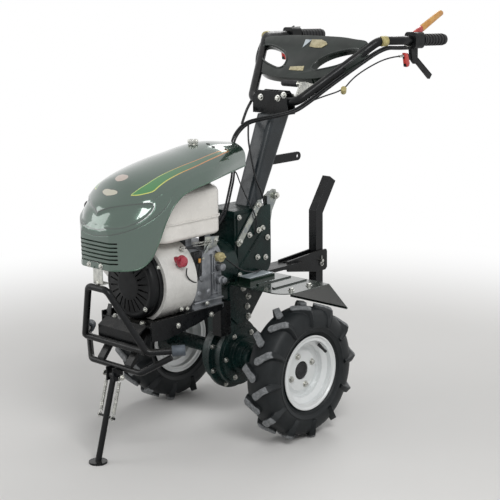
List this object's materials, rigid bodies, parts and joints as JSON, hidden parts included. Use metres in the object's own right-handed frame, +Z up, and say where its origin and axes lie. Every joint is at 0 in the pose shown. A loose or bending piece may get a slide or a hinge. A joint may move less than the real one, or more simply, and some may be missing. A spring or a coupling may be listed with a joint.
{
  "type": "two-wheel walk-behind tractor",
  "caption": "Walk-behind tractor with lugged drive wheels, open petrol engine under a hood, front stand, tilting handlebar and rear hitch.",
  "frame": {"origin": "centre of the bounding box on the floor", "axes": "+X to the machine's left side, +Y to its rear and the operator, +Z up"},
  "size_m": [0.684, 1.3326, 1.256],
  "materials": {
    "tyre": "matt lugged rubber",
    "rim_silver": "silver paint",
    "green_paint": "dark green gloss with fine flake",
    "green_casting": "dark green gloss on castings",
    "green_gearbox": "dark green gloss on castings",
    "green_plastic": "dark green moulding",
    "black_paint": "satin black powder coat",
    "black_plastic": "black moulding",
    "white_plastic": "off-white gloss",
    "engine_alloy": "grey die casting",
    "zinc": "zinc plated steel",
    "rubber": "ribbed black rubber",
    "red_plastic": "red"
  },
  "bodies": {
    "root": {"gear_case": "green_casting", "fender_bracket_left": "green_paint", "fender_bracket_right": "green_paint", "gearbox": "green_gearbox", "bell_housing": "green_gearbox", "engine_crankcase": "engine_alloy", "engine_cylinder": "engine_alloy", "fan_shroud": "white_plastic", "recoil_cover": "black_plastic", "fuel_tank": "white_plastic", "tank_cap": "black_plastic", "muffler": "black_plastic", "air_cleaner": "black_plastic", "stop_switch": "red_plastic", "engine_tray": "black_paint", "tray_channel": "black_paint", "bumper_upper": "black_paint", "bumper_lower": "black_paint", "bumper_stays": "black_paint", "stand_bracket": "black_paint", "hood": "green_plastic", "hood_knob": "zinc", "hood_front_bracket": "zinc", "hood_post": "zinc", "column": "black_paint", "column_arm": "black_paint", "handlebar_clamp": "black_paint", "shift_bar": "zinc", "selector_plate": "zinc", "fender_left": "green_paint", "fender_right": "green_paint", "hitch_bracket": "black_paint", "drag_bar": "black_paint", "hitch_pin": "zinc"},
    "stand": {"stand_leg": "black_paint", "stand_springs": "zinc"},
    "handlebar": {"handle_left": "black_paint", "handle_right": "black_paint", "dash_panel": "green_plastic", "grip_left": "rubber", "grip_right": "rubber", "control_left": "black_plastic", "control_right": "black_plastic", "adjuster_lever": "zinc"},
    "wheel_left": {"tyre_left": "tyre", "rim_left": "rim_silver", "hub_left": "zinc", "axle_left": "zinc"},
    "wheel_right": {"tyre_right": "tyre", "rim_right": "rim_silver", "hub_right": "zinc", "axle_right": "zinc"}
  },
  "joints": [
    {"name": "stand_fold", "type": "hinge", "parent": "root", "child": "stand", "pos_m": [0, -0.56932, 0.25], "axis": [1, 0, 0], "range_deg": [0, 100]},
    {"name": "handlebar_tilt", "type": "hinge", "parent": "root", "child": "handlebar", "pos_m": [0, 0.12668, 0.99], "axis": [1, 0, 0], "range_deg": [-20, 15]},
    {"name": "wheel_left_spin", "type": "hinge", "parent": "root", "child": "wheel_left", "pos_m": [0.285, -0.07532, 0.208], "axis": [1, 0, 0], "continuous": true},
    {"name": "wheel_right_spin", "type": "hinge", "parent": "root", "child": "wheel_right", "pos_m": [-0.285, -0.07532, 0.208], "axis": [1, 0, 0], "continuous": true}
  ]
}
